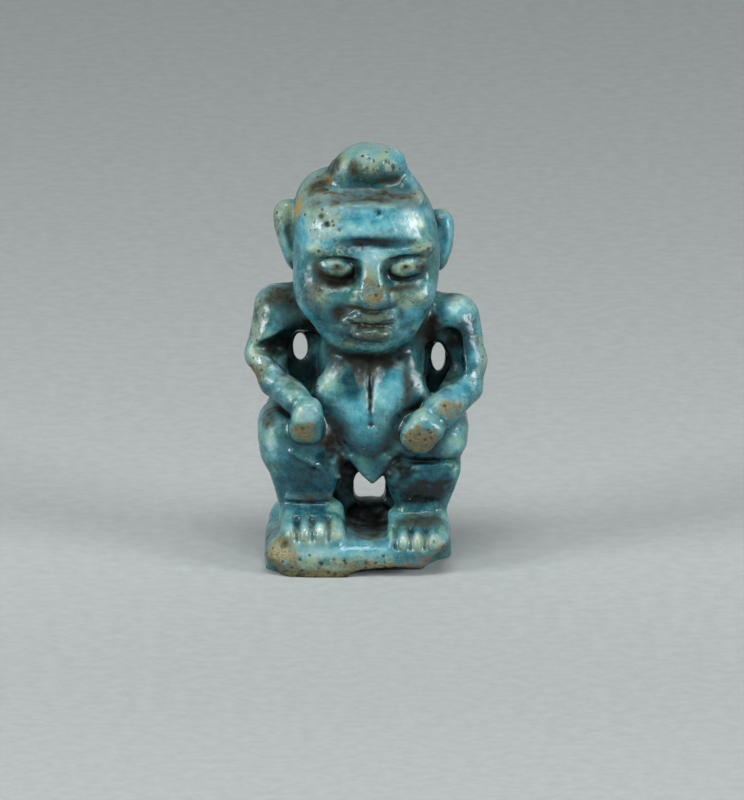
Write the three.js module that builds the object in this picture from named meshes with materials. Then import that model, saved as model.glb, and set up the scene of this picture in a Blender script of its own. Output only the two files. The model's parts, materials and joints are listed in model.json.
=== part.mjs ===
// A pataikos amulet: a bow-legged dwarf, hands on his thighs and a beetle on his bald head, standing on a low base.
// The figure and its base are one piece of glazed ware, shaped here as lumps of clay that are pressed together and cut.
// Millimetres, +Z up. The face looks along -Y. The places below are measured from a point under the middle of the
// body, and at the end the origin is moved under the middle of the whole figure.

import * as THREE from 'three';
import { MarchingCubes } from 'three/addons/objects/MarchingCubes.js';
import { SimplifyModifier } from 'three/addons/modifiers/SimplifyModifier.js';
import { mergeVertices } from 'three/addons/utils/BufferGeometryUtils.js';

// Driving dimensions
const HEIGHT = 30;
const BASE_WIDTH = 13;
const BASE_DEPTH = 10.3;
const BASE_TOP = 2.2;
const HEAD_AT = [0.3, -0.2, 22];
const HEAD_YAW = 4;
const HEAD_HALF_WIDTH = 4.95;
const FACE_HALF_HEIGHT = 6.1;
const BODY_MIDDLE = 0.45;
const LOOP_AT = [0.3, 4.3, 18.4];
const LOOP_HOLE_RADIUS = 0.6;

// The two sides of the body are not alike: the one at +X sits lower and its elbow reaches further out.
const SIDES = [
  {
    sign: -1,
    shoulder: [-6.0, 0.3, 18.0],
    elbow: [-6.7, -0.3, 14.1],
    wrist: [-4.4, -3.9, 12.3],
    fist: [-3.95, -4.5, 11.0],
    fistHalf: [1.2, 1.0, 1.55],
    fistTurn: [15, 0, 0],
    armRadii: [1.7, 1.35, 1.05],
    hollow: { at: [-4.9, -2.6, 14.9], half: [2.3, 2.6, 1.5], turn: [0, 12, 0] },
    hole: { front: [-4.45, -3.0, 16.1], back: [-4.35, 4.5, 14.0], half: [0.62, 0.9] },
    thigh: [-4.4, -0.6, 8.8],
    thighHalf: [2.85, 3.2, 2.75],
    shin: [-3.3, -1.0, 5.4],
    shinHalf: [2.45, 2.7, 3.0],
    kneeRidge: [[-5.3, -2.7, 8.9], [-2.0, -3.3, 7.3]],
    toes: [-5.2, -4.1, -3.0, -1.8],
    toeDrop: 0,
  },
  {
    sign: 1,
    shoulder: [6.5, 0.2, 17.0],
    elbow: [7.25, -0.3, 12.6],
    wrist: [5.3, -3.7, 11.3],
    fist: [4.05, -4.5, 10.1],
    fistHalf: [1.5, 0.95, 1.25],
    fistTurn: [15, 25, 0],
    armRadii: [1.9, 1.35, 1.0],
    hollow: { at: [5.0, -2.6, 14.3], half: [1.95, 2.6, 1.7], turn: [0, 12, 0] },
    hole: { front: [5.1, -3.0, 15.3], back: [5.3, 4.5, 13.2], half: [0.5, 1.0] },
    thigh: [4.5, -0.6, 8.65],
    thighHalf: [3.0, 3.2, 2.8],
    shin: [3.75, -1.0, 5.2],
    shinHalf: [2.15, 2.7, 3.0],
    kneeRidge: [[5.6, -2.7, 7.5], [2.5, -3.3, 7.1]],
    toes: [1.8, 2.8, 3.8, 5.0],
    toeDrop: 0.5,
  },
];

// The grid that the shape is sampled on, and the number of triangles that the solid is thinned to
const CELL = 0.25;
const GRID = 128;
const TRIANGLES = 9600;

const { degToRad } = THREE.MathUtils;
const WORLD = new THREE.Matrix4();
const headFrame = frameAt(HEAD_AT, [0, 0, HEAD_YAW]);

function frameAt(at, turn, parent = WORLD) {
  const euler = new THREE.Euler(...turn.map(degToRad));
  const own = new THREE.Matrix4().makeRotationFromEuler(euler).setPosition(...at);
  return own.premultiply(parent);
}

// A shape knows its middle, how far it reaches from there, and how far a point lies outside its skin.
function makeShape(frame, reach, localDistance) {
  const inverse = frame.clone().invert();
  const middle = new THREE.Vector3().setFromMatrixPosition(frame);
  const local = new THREE.Vector3();
  return { middle, reach, distance: (point) => localDistance(local.copy(point).applyMatrix4(inverse)) };
}

// An egg-like lump, which grows boxier as its squareness rises from 2.
function lump(at, half, { squareness: n = 2, turn = [0, 0, 0], frame = WORLD } = {}) {
  const reach = Math.hypot(...half);
  return makeShape(frameAt(at, turn, frame), reach, ({ x, y, z }) => {
    const parts = [Math.abs(x) / half[0], Math.abs(y) / half[1], Math.abs(z) / half[2]];
    const level = Math.max((parts[0] ** n + parts[1] ** n + parts[2] ** n) ** (1 / n), 1e-3);
    const slope = Math.hypot(...parts.map((part, axis) => (part / level) ** (n - 1) / half[axis]));
    return (level - 1) / slope;
  });
}

// A round limb that tapers from one end to the other.
function limb(start, end, startRadius, endRadius, frame = WORLD) {
  const from = new THREE.Vector3(...start);
  const along = new THREE.Vector3(...end).sub(from);
  const middle = along.clone().multiplyScalar(0.5).add(from);
  const offset = new THREE.Vector3();
  from.sub(middle);
  const reach = along.length() / 2 + Math.max(startRadius, endRadius);
  return makeShape(frameAt(middle.toArray(), [0, 0, 0], frame), reach, (point) => {
    offset.copy(point).sub(from);
    const part = THREE.MathUtils.clamp(offset.dot(along) / along.lengthSq(), 0, 1);
    return offset.addScaledVector(along, -part).length() - THREE.MathUtils.lerp(startRadius, endRadius, part);
  });
}

// A block with rounded edges.
function block(at, half, rounding, turn = [0, 0, 0], frame = WORLD) {
  return makeShape(frameAt(at, turn, frame), Math.hypot(...half), ({ x, y, z }) => {
    const over = [x, y, z].map((value, axis) => Math.abs(value) - half[axis] + rounding);
    const outside = Math.hypot(...over.map((value) => Math.max(value, 0)));
    return outside + Math.min(Math.max(...over), 0) - rounding;
  });
}

// Each step presses a shape on, or cuts it away, with a soft or a sharp join.
const press = (shape, softness) => ({ shape, softness, sign: 1 });
const carve = (shape, softness) => ({ shape, softness, sign: -1 });

function head() {
  const frame = headFrame;
  return [
    press(lump([-0.2, 0.7, 1.6], [4.95, 4.1, 4.2], { squareness: 3, frame }), 0),
    press(lump([0, -1.9, -0.3], [HEAD_HALF_WIDTH, 3.1, FACE_HALF_HEIGHT], { squareness: 2.2, frame }), 1.2),
    press(limb([0, 1.2, -1], [0, 1.2, -7], 3.0, 2.8, frame), 0.8),
  ];
}

// The ledge along the front of the crown, the frown line, eyes, nose, mouth and cheeks.
function face() {
  const frame = headFrame;
  const bothSides = (shapeOf) => [-1, 1].flatMap(shapeOf);
  return [
    ...bothSides((side) => press(lump([side * 2.9, -3.8, -2.4], [1.5, 1.0, 1.5], { frame }), 0.8)),
    ...bothSides((side) => press(lump([side * 2.2, -3.8, 1.25], [2.1, 0.85, 0.75], { frame }), 0.7)),
    ...bothSides((side) => carve(lump([side * 2.45, -5.15, 0.0], [1.95, 1.2, 0.92], { frame }), 0.2)),
    ...bothSides((side) => press(lump([side * 2.4, -4.15, 0.0], [1.1, 0.65, 0.66], { frame }), 0.1)),
    carve(limb([-2.9, -4.3, 5.1], [3.7, -4.2, 5.0], 0.8, 0.7, frame), 0.3),
    carve(lump([-0.1, -5.2, 2.1], [2.1, 0.5, 0.33], { frame }), 0.25),
    press(limb([0, -4.55, 0.5], [0, -4.85, -1.9], 0.5, 0.85, frame), 0.35),
    ...bothSides((side) => press(lump([side * 0.75, -4.85, -2.2], [0.5, 0.55, 0.45], { frame }), 0.2)),
    ...bothSides((side) => carve(lump([side * 2.1 - 0.1, -5.0, -3.5], [0.4, 0.45, 0.7], { frame }), 0.4)),
    press(lump([-0.15, -4.45, -3.8], [1.75, 0.85, 0.95], { squareness: 2.4, frame }), 0.3),
    carve(lump([0.1, -5.35, -3.85], [1.6, 0.5, 0.2], { frame }), 0.15),
    press(lump([0.1, -3.8, -5.2], [1.5, 0.8, 0.8], { frame }), 0.6),
  ];
}

function ears() {
  const frame = headFrame;
  const sizes = [
    { side: -1, at: [-5.4, 1.0, 1.4], half: [1.0, 0.75, 2.35], lean: 13 },
    { side: 1, at: [5.3, 1.0, 0.85], half: [0.95, 0.75, 2.1], lean: 4 },
  ];
  return sizes.flatMap(({ side, at, half, lean }) => [
    press(lump(at, half, { squareness: 2.3, turn: [0, side * lean, side * -15], frame }), 0.3),
    carve(lump([at[0] + side * 0.15, at[1] - 0.75, at[2] + 0.3], [0.45, 0.45, 1.3], { frame }), 0.3),
  ]);
}

// The beetle on the crown, worn down to two lumps and one leg.
function beetle() {
  const frame = headFrame;
  return [
    press(lump([0.4, -0.5, 6.1], [2.35, 2.9, 1.9], { squareness: 2.2, frame }), 0.3),
    press(lump([-1.75, -0.8, 5.85], [1.3, 1.8, 1.35], { frame }), 0.25),
    press(limb([3.2, -3.2, 4.4], [3.0, -1.8, 5.6], 0.4, 0.5, frame), 0.3),
  ];
}

function torso() {
  const [left, right] = SIDES;
  const apronTop = [BODY_MIDDLE, -1.9, 8.3];
  const apronTip = [BODY_MIDDLE + 0.3, -2.9, 6.4];
  const grooveTop = [BODY_MIDDLE, -3.4, 15.0];
  const grooveFoot = [BODY_MIDDLE + 0.1, -4.0, 11.2];
  return [
    press(lump([BODY_MIDDLE, 0.5, 14.9], [3.9, 3.0, 3.4], { squareness: 2.6 }), 0.8),
    press(lump([BODY_MIDDLE, -0.3, 11.4], [3.0, 3.5, 3.8], { squareness: 2.4 }), 0.8),
    press(lump([BODY_MIDDLE - 0.2, 0.9, 9.0], [4.2, 2.8, 2.8], { squareness: 2.6 }), 0.8),
    ...[-1, 1].map((side) => press(lump([BODY_MIDDLE + side * 2.0, 2.4, 8.6], [2.2, 1.9, 2.3]), 0.4)),
    press(limb(left.shoulder, right.shoulder, 1.5, 1.5), 0.8),
    press(limb([-5.3, 0.5, 18.4], [-2.6, 0.8, 19.2], 1.35, 1.3), 0.5),
    press(limb([2.6, 0.8, 18.6], [5.6, 0.5, 17.4], 1.4, 1.5), 0.5),
    ...[-1, 1].map((side) => press(lump([BODY_MIDDLE + side * 1.75, -2.1, 13.5], [1.6, 1.25, 2.0]), 0.25)),
    carve(limb(grooveTop, grooveFoot, 0.4, 0.3), 0.25),
    carve(limb([BODY_MIDDLE, 4.0, 17], [BODY_MIDDLE, 4.1, 9], 0.5, 0.6), 0.5),
    press(limb(apronTop, apronTip, 1.9, 0.25), 0.25),
  ];
}

// A web of clay joins each bent arm to the flank, and a hole is pierced through it.
function arm(side) {
  const { sign, shoulder, elbow, wrist, fist, fistHalf, fistTurn, armRadii, hollow, hole } = side;
  const fall = Math.atan2(hole.front[2] - hole.back[2], hole.back[1] - hole.front[1]);
  const holeMiddle = hole.front.map((value, axis) => (value + hole.back[axis]) / 2);
  const holeHalf = [hole.half[0], 6.0, hole.half[1]];
  return [
    press(block([sign * 4.7 + 0.2, 0.9, 14.4], [2.0, 1.0, 4.0], 0.9), 0.9),
    press(limb(shoulder, elbow, armRadii[0], armRadii[1]), 0.4),
    carve(lump(hollow.at, hollow.half, { turn: hollow.turn }), 0.3),
    press(limb(elbow, wrist, armRadii[1], armRadii[2]), 0.3),
    press(lump(fist, fistHalf, { squareness: 2.4, turn: fistTurn }), 0.3),
    carve(lump(holeMiddle, holeHalf, { turn: [-fall / degToRad(1), 0, 0] }), 0.3),
  ];
}

// The thigh and the bent knee are one mass, and a ridge along the knee tops the flat front of the shin.
function leg(side) {
  const { sign, thigh, thighHalf, shin, shinHalf, kneeRidge } = side;
  return [
    press(lump(thigh, thighHalf, { squareness: 2.8, turn: [0, sign * 8, 0] }), 0.5),
    press(block(shin, shinHalf, 1.0, [-10, 0, sign * 6]), 1.3),
    press(limb(kneeRidge[0], kneeRidge[1], 0.9, 0.8), 0.4),
  ];
}

function foot(side) {
  const { toes, toeDrop, shin, shinHalf } = side;
  return [
    press(lump([shin[0], -3.1, 2.2 - toeDrop / 2], [shinHalf[0] + 0.1, 2.5, 2.8], { squareness: 2.3 }), 0.25),
    ...toes.map((x) => press(limb([x, -4.2, 4.1 - toeDrop], [x, -5.3, 2.6 - toeDrop], 0.55, 0.5), 0.1)),
  ];
}

function base() {
  const half = [BASE_WIDTH / 2, BASE_DEPTH / 2, BASE_TOP];
  return [
    press(block([-0.3, -0.6, 0], half, 0.9), 0.4),
    press(block([-0.3, 3.0, 1.5], [half[0] - 0.3, 1.5, 1.9], 1.4), 0.5),
  ];
}

// The loop behind the neck that the amulet hung from.
function loop() {
  const [x, y, z] = LOOP_AT;
  const reach = 4;
  return [
    press(lump([x, y - 0.8, z], [1.0, 1.6, 1.7], { squareness: 2.4 }), 0.4),
    carve(limb([x - reach, y, z], [x + reach, y, z], LOOP_HOLE_RADIUS, LOOP_HOLE_RADIUS), 0.15),
  ];
}

// The underside is broken away along the front and at one corner, and the other front corner is chipped.
function breaks() {
  return [
    carve(block([3.6, -6.1, -0.6], [4.5, 2.4, 1.15], 0.5), 0.3),
    carve(lump([7.6, -5.8, -0.4], [4.2, 3.2, 2.3]), 0.4),
    carve(lump([-7.6, -6.2, -0.3], [2.2, 2.2, 1.9]), 0.3),
  ];
}

const steps = [
  ...head(),
  ...torso(),
  ...SIDES.flatMap(leg),
  ...base(),
  ...SIDES.flatMap(foot),
  ...SIDES.flatMap(arm),
  ...face(),
  ...ears(),
  ...beetle(),
  ...loop(),
  ...breaks(),
];

// How far a point lies outside the figure: negative inside, and above the table only.
function figureDistance(point) {
  let total = Infinity;
  for (const { shape, softness, sign } of steps) {
    const nearest = point.distanceTo(shape.middle) - shape.reach;
    const margin = 2 * softness + 0.3;
    if (sign > 0 ? nearest > total + margin : nearest > margin - total) continue;
    const other = sign * shape.distance(point);
    const gap = Math.max(softness - Math.abs(total - other), 0);
    const swell = softness > 0 && Number.isFinite(total) ? (gap * gap) / (4 * softness) : 0;
    total = sign > 0 ? Math.min(total, other) - swell : Math.max(total, other) + swell;
  }
  return Math.max(total, -point.z);
}

// The skin of the figure as a closed fine mesh.
function skin() {
  const cubes = new MarchingCubes(GRID, new THREE.MeshStandardMaterial(), false, false, 200000);
  const start = new THREE.Vector3(-GRID / 2, -GRID / 2, -0.5 - GRID / 64).multiplyScalar(CELL);
  const point = new THREE.Vector3();
  const box = new THREE.Box3(new THREE.Vector3(-9.5, -7, -0.5), new THREE.Vector3(9.5, 6.5, HEIGHT + 1));
  cubes.isolation = 0;
  for (let k = 0; k < GRID; k++) {
    for (let j = 0; j < GRID; j++) {
      for (let i = 0; i < GRID; i++) {
        point.set(i, j, k).multiplyScalar(CELL).add(start);
        cubes.setCell(i, j, k, box.containsPoint(point) ? -figureDistance(point) : -CELL);
      }
    }
  }
  cubes.update();
  const corners = cubes.positionArray.slice(0, cubes.count * 3);
  const geometry = new THREE.BufferGeometry();
  geometry.setAttribute('position', new THREE.BufferAttribute(corners, 3));
  const middle = start.clone().addScalar((CELL * GRID) / 2);
  geometry.scale((CELL * GRID) / 2, (CELL * GRID) / 2, (CELL * GRID) / 2);
  geometry.translate(middle.x, middle.y, middle.z);
  return mergeVertices(geometry, 1e-4);
}

// Corners that lie on the table are set exactly on it, so that the underside is flat.
function flattenUnderside(geometry) {
  const position = geometry.getAttribute('position');
  for (let i = 0; i < position.count; i++) {
    if (Math.abs(position.getZ(i)) < CELL / 10) position.setZ(i, 0);
  }
}

// The origin is put under the middle of the whole figure's box.
function centreOnOrigin(geometry) {
  geometry.computeBoundingBox();
  const middle = geometry.boundingBox.getCenter(new THREE.Vector3());
  geometry.translate(-middle.x, -middle.y, 0);
}

const fine = skin();
flattenUnderside(fine);
const surplus = fine.getAttribute('position').count - TRIANGLES / 2;
const figure = await new SimplifyModifier().modify(fine, surplus);
centreOnOrigin(figure);

const group = new THREE.Group();
const glaze = new THREE.MeshStandardMaterial({ color: 0x3f9fb0, roughness: 0.25, metalness: 0 });
const mesh = new THREE.Mesh(figure, glaze);
mesh.name = 'pataikos_figure';
group.add(mesh);

export default group;
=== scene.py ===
"""A pataikos amulet of blue-glazed Egyptian faience: a bow-legged dwarf with a beetle on his head.

The figure is shaped as clay is, in a block of small cells: lumps are pressed on and hollows carved out, one after
another, and the skin of the result becomes one mesh. Sizes and places in the tables are millimetres of a figure
that is 30 mm high, with the face looking along -Y and +Z up, measured from a point under the middle of the body.
"""

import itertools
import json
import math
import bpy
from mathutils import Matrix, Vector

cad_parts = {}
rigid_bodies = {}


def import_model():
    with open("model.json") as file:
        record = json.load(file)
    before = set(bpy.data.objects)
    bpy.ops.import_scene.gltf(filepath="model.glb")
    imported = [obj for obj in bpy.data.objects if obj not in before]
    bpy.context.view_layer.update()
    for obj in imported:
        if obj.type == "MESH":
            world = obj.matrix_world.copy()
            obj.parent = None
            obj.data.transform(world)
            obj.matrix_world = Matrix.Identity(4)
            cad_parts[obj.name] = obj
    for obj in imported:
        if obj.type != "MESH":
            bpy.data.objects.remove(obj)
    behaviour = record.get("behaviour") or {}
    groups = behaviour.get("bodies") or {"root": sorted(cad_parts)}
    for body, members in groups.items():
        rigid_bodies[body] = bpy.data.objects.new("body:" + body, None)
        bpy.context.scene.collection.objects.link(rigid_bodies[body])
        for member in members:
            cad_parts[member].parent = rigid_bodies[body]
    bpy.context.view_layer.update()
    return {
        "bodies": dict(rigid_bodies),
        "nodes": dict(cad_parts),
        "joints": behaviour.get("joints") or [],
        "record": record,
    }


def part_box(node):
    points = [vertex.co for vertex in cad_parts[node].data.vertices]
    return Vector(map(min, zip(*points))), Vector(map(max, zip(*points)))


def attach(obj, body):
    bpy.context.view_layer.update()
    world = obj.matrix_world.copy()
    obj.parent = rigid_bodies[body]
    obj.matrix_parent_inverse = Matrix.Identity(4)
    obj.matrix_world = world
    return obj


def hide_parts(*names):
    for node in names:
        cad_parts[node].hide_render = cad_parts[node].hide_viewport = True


bl_info = {
    "name": "Faience pataikos amulet",
    "version": (1, 0, 0),
    "blender": (4, 5, 0),
    "location": "View3D > Sidebar > Amulet",
    "description": "Shapes and glazes a small faience amulet on the packed solid, with a studio stage",
    "category": "Add Mesh",
}

import bpy
import numpy as np
from bpy.props import FloatProperty, FloatVectorProperty, PointerProperty
from mathutils import Euler, Vector

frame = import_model()
NODE = "pataikos_figure"
NODE_LOW, NODE_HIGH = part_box(NODE)

# Driving dimensions, in millimetres
HEIGHT = 30
BASE_WIDTH = 13
BASE_DEPTH = 10.3
BASE_TOP = 2.2
HEAD_AT = (0.3, -0.2, 22)
HEAD_YAW = 4
HEAD_HALF_WIDTH = 4.95
BODY_MIDDLE = 0.45
LOOP_AT = (0.3, 4.3, 18.4)
LOOP_HOLE_RADIUS = 0.6
UNIT = (NODE_HIGH.z - NODE_LOW.z) / HEIGHT

# The block of cells that the figure is shaped in, and how far from the skin its distances hold
CELL = 0.15
BLOCK_LOW = (-9.4, -7.0, -1.5 * CELL)
BLOCK_HIGH = (9.6, 6.2, HEIGHT + 0.8)
FAR = 4.0
BAND = 2.2

# The two sides of the body are not alike: the one at +X sits lower and its elbow reaches further out.
LEFT = {
    "sign": -1,
    "shoulder": (-6.0, 0.3, 17.9),
    "elbow": (-6.75, -0.5, 14.7),
    "bend": (-6.05, -1.9, 13.2),
    "wrist": (-4.6, -3.8, 12.3),
    "arm_radii": (1.6, 1.35, 1.15, 1.05),
    "fist": {"at": (-3.9, -4.35, 11.0), "half": (1.15, 1.05, 1.7), "turn": (12, 3, 0), "flare": -0.15},
    "hollow": (
        ((-7.9, -1.5, 15.4), (-5.0, -1.6, 15.5), 0.1, 1.3),
        ((-5.0, -1.6, 15.3), (-3.9, -2.2, 12.9), 1.4, 0.75),
    ),
    "hole": {"front": (-4.4, -3.0, 16.05), "back": (-4.35, 4.5, 13.95), "half": (0.52, 0.95)},
    "thigh": (-4.45, -0.9, 9.0),
    "thigh_half": (2.85, 3.1, 2.4),
    "shin": (-3.95, -0.9, 6.4),
    "shin_half": (2.25, 2.65, 3.2),
    "shin_flare": 0.4,
    "knee": ((-4.9, 8.6), (-3.4, 7.8), (-1.8, 6.8)),
    "ankle": ((-5.2, 5.15), (-3.6, 5.1), (-2.4, 5.1)),
    "foot": (-3.55, -3.2, 2.7),
    "foot_half": (2.3, 2.35, 1.8),
    "toe_grooves": (-4.6, -3.55, -2.4),
    "toe_drop": 0,
}
RIGHT = {
    "sign": 1,
    "shoulder": (6.35, 0.2, 17.0),
    "elbow": (7.4, -0.5, 14.3),
    "bend": (7.0, -1.1, 12.6),
    "wrist": (5.3, -3.6, 11.3),
    "arm_radii": (1.85, 1.15, 1.3, 1.3),
    "fist": {"at": (4.1, -4.4, 10.2), "half": (1.3, 1.1, 1.55), "turn": (15, 38, 0), "flare": 0.0},
    "hollow": (
        ((5.9, -1.9, 15.9), (5.8, -1.9, 14.2), 1.1, 1.25),
        ((5.8, -1.9, 14.2), (4.9, -2.2, 13.3), 1.2, 0.9),
    ),
    "hole": {"front": (5.15, -3.0, 15.3), "back": (5.35, 4.5, 13.2), "half": (0.5, 1.0)},
    "thigh": (4.4, -0.9, 9.5),
    "thigh_half": (2.9, 3.1, 1.95),
    "shin": (3.95, -0.9, 5.9),
    "shin_half": (2.25, 2.65, 2.6),
    "shin_flare": 0.4,
    "knee": ((3.6, 7.4), (6.0, 7.5)),
    "ankle": ((2.9, 4.3), (3.9, 4.3), (5.0, 4.4)),
    "foot": (3.8, -3.3, 2.15),
    "foot_half": (2.25, 2.4, 1.8),
    "toe_grooves": (2.25, 3.3, 4.3),
    "toe_drop": 0.55,
}


class Frame:
    """A place and a turn that shapes are measured in."""

    def __init__(self, at=(0, 0, 0), turn=(0, 0, 0), parent=None):
        self.at = np.array(at, float)
        self.axes = np.array(Euler([math.radians(angle) for angle in turn], "ZYX").to_matrix())
        if parent:
            self.at = parent.at + parent.axes @ self.at
            self.axes = parent.axes @ self.axes

    def local(self, x, y, z):
        offsets = (x - self.at[0], y - self.at[1], z - self.at[2])
        return [sum(offsets[row] * self.axes[row, column] for row in range(3)) for column in range(3)]

    def reach(self, half):
        return np.abs(self.axes) @ np.array(half, float)


BODY = Frame()
HEAD = Frame(HEAD_AT, (0, 0, HEAD_YAW))


class Shape:
    """A closed form: the box that holds it, and how far any point lies outside its skin."""

    def __init__(self, middle, reach, distance):
        self.low = middle - reach
        self.high = middle + reach
        self.distance = distance


def lump(at, half, squareness=2.0, turn=(0, 0, 0), frame=BODY, flare=0.0):
    """An egg-like lump, which is boxier the higher its squareness is above 2, and wider at its top by its flare."""
    place = Frame(at, turn, frame)

    def distance(x, y, z):
        across, back, up = place.local(x, y, z)
        across = across / np.maximum(1 + flare * up / half[2], 0.1)
        parts = [np.abs(value) / size for value, size in zip((across, back, up), half)]
        level = sum(part**squareness for part in parts) ** (1 / squareness)
        level = np.maximum(level, 1e-3)
        slope = sum(((part / level) ** (squareness - 1) / size) ** 2 for part, size in zip(parts, half))
        return (level - 1) / np.sqrt(slope)

    widest = (half[0] * (1 + abs(flare)), half[1], half[2])
    return Shape(place.at, place.reach(widest), distance)


def limb(start, end, start_radius, end_radius, frame=BODY):
    """A round limb that tapers from one end to the other."""
    start, end = (frame.at + frame.axes @ np.array(point, float) for point in (start, end))
    along = end - start

    def distance(x, y, z):
        offset = (x - start[0], y - start[1], z - start[2])
        part = sum(value * step for value, step in zip(offset, along)) / (along @ along)
        part = np.clip(part, 0, 1)
        away = sum((value - part * step) ** 2 for value, step in zip(offset, along))
        return np.sqrt(away) - (start_radius + (end_radius - start_radius) * part)

    return Shape((start + end) / 2, np.abs(along) / 2 + max(start_radius, end_radius), distance)


def block(at, half, rounding, turn=(0, 0, 0), frame=BODY):
    """A block with rounded edges."""
    place = Frame(at, turn, frame)

    def distance(x, y, z):
        over = [np.abs(value) - size + rounding for value, size in zip(place.local(x, y, z), half)]
        outside = np.sqrt(sum(np.maximum(value, 0) ** 2 for value in over))
        deepest = np.maximum(np.maximum(over[0], over[1]), over[2])
        return outside + np.minimum(deepest, 0) - rounding

    return Shape(place.at, place.reach(half), distance)


class Clay:
    """A block of cells that each hold how far they lie outside the skin, negative inside."""

    def __init__(self, low, high, cell):
        self.low = np.array(low, float)
        self.cell = cell
        counts = np.ceil((np.array(high) - self.low) / cell).astype(int) + 1
        self.outside = np.full(counts, FAR, np.float32)

    def _window(self, shape, softness):
        """The cells near a shape, and their places along each axis."""
        margin = BAND + softness
        first = np.maximum(((shape.low - margin - self.low) / self.cell).astype(int), 0)
        last = np.minimum(((shape.high + margin - self.low) / self.cell).astype(int) + 2, self.outside.shape)
        cells = tuple(slice(a, b) for a, b in zip(first, last))
        ticks = [self.low[axis] + self.cell * np.arange(first[axis], last[axis]) for axis in range(3)]
        x, y, z = (line.astype(np.float32) for line in ticks)
        return cells, x[:, None, None], y[None, :, None], z[None, None, :]

    def _join(self, shape, softness, sign):
        """Takes the lower (sign 1) or higher (sign -1) of the two distances, rounded where they are close."""
        cells, x, y, z = self._window(shape, softness)
        old = sign * self.outside[cells]
        new = shape.distance(x, y, z)
        swell = 0
        if softness > 0:
            swell = np.maximum(softness - np.abs(old - new), 0) ** 2 / (4 * softness)
        self.outside[cells] = sign * (np.minimum(old, new) - swell)

    def press(self, shape, softness=0.3):
        self._join(shape, softness, 1)

    def carve(self, shape, softness=0.3):
        self._join(shape, softness, -1)

    def at(self, points):
        """The distance at any points, read between the cells."""
        place = (points - self.low) / self.cell
        first = np.clip(place.astype(int), 0, np.array(self.outside.shape) - 2)
        share = place - first
        value = np.zeros(len(points))
        for corner in itertools.product((0, 1), repeat=3):
            weight = np.prod(np.where(corner, share, 1 - share), axis=1)
            value += weight * self.outside[tuple((first + corner).T)]
        return value

    def front(self, x, z):
        """The point of the skin that shows at this place from the front."""
        depths = np.arange(self.low[1], 0, self.cell / 4)
        inside = self.at(np.stack([np.full_like(depths, x), depths, np.full_like(depths, z)], axis=1)) < 0
        return (x, depths[np.argmax(inside)], z)

    def _along(self, path, radii):
        """Limbs that follow the front of the skin, through places that are given as x and z."""
        points = [self.front(x, z) for x, z in path]
        return [limb(start, end, *radii) for start, end in itertools.pairwise(points)]

    def score(self, path, radii, softness=0.1):
        """Draws a round-ended tool along the front of the skin."""
        for stroke in self._along(path, radii):
            self.carve(stroke, softness)

    def roll(self, path, radii, softness=0.1):
        """Lays a thin roll of clay along the front of the skin."""
        for stretch in self._along(path, radii):
            self.press(stretch, softness)

    def skin(self):
        """The skin as quads, with one corner in each cell that it passes through."""
        steps = np.eye(3, dtype=int)
        counts = np.array(self.outside.shape)
        crossings, quads = [], []
        for axis, step in enumerate(steps):
            near = self.outside[tuple(slice(0, count - s) for count, s in zip(counts, step))]
            far = self.outside[tuple(slice(s, count) for count, s in zip(counts, step))]
            edges = np.argwhere((near < 0) != (far < 0))
            start = near[tuple(edges.T)]
            share = start / (start - far[tuple(edges.T)])
            across, over = steps[axis - 2], steps[axis - 1]
            around = edges[:, None] - np.array([0 * across, across, across + over, over])
            quad = np.ravel_multi_index(np.moveaxis(around, 2, 0), counts)
            quad[start >= 0] = quad[start >= 0, ::-1]
            quads.append(quad)
            crossings.append(np.repeat(edges + share[:, None] * step, 4, axis=0))
        quads = np.concatenate(quads)
        cells, corner = np.unique(quads.ravel(), return_inverse=True)
        shares = np.bincount(corner)
        places = np.concatenate(crossings)
        sums = [np.bincount(corner, weights=places[:, axis]) for axis in range(3)]
        corners = self.low + self.cell * np.stack(sums, axis=1) / shares[:, None]
        return corners, corner.reshape(-1, 4)


def shape_head(clay):
    """The skull, the egg-shaped face with its heavy jaw, fuller at the left cheek, and the neck."""
    clay.press(lump((-0.4, 0.6, 1.4), (4.8, 4.1, 4.5), 2.9, frame=HEAD), 0)
    clay.press(lump((-0.05, -1.9, 0.2), (HEAD_HALF_WIDTH, 3.1, 5.6), 2.4, frame=HEAD), 1.0)
    clay.press(lump((-0.1, -1.95, -2.9), (4.05, 2.85, 4.05), 2.05, frame=HEAD), 1.0)
    clay.press(lump((-3.85, -2.2, -1.8), (1.45, 1.8, 2.2), frame=HEAD), 0.8)
    clay.press(limb((0, 1.2, -1), (0, 1.2, -7), 3.0, 2.8, HEAD), 0.8)


def shape_eye(clay, side, half_width):
    """A wide socket that runs up under the brow and fades out on the cheek, with an almond eye in it."""
    clay.carve(lump((side * 2.35, -5.6, -0.45), (2.0, 1.5, 1.1), 2.3, (14, side * 6, side * 14), HEAD), 0.5)
    clay.carve(lump((side * 2.45, -5.4, 0.0), (2.0, 1.4, 0.8), 2.3, (22, side * 4, side * 14), HEAD), 0.12)
    clay.carve(lump((side * 1.35, -5.2, -0.5), (0.6, 0.95, 0.8), 2.0, (20, side * 20, 0), HEAD), 0.6)
    clay.press(lump((side * 2.55, -3.9, 0.02), (half_width, 0.9, 0.8), 2.1, (0, side * -9, side * 14), HEAD), 0.2)


def shape_nose(clay):
    """A short nose, narrow between the eyes and broad at its tip."""
    clay.press(lump((0.0, -4.45, -0.9), (0.85, 1.0, 1.8), 2.4, (-18, 0, 0), HEAD, -0.5), 0.7)
    clay.press(lump((0.05, -5.05, -2.1), (1.05, 0.75, 0.7), 2.2, frame=HEAD), 0.3)
    for side in (-1, 1):
        clay.press(lump((side * 1.15, -4.7, -2.3), (0.45, 0.5, 0.42), frame=HEAD), 0.2)
    clay.carve(lump((0.0, -5.7, -2.95), (1.3, 0.75, 0.18), frame=HEAD), 0.15)


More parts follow.
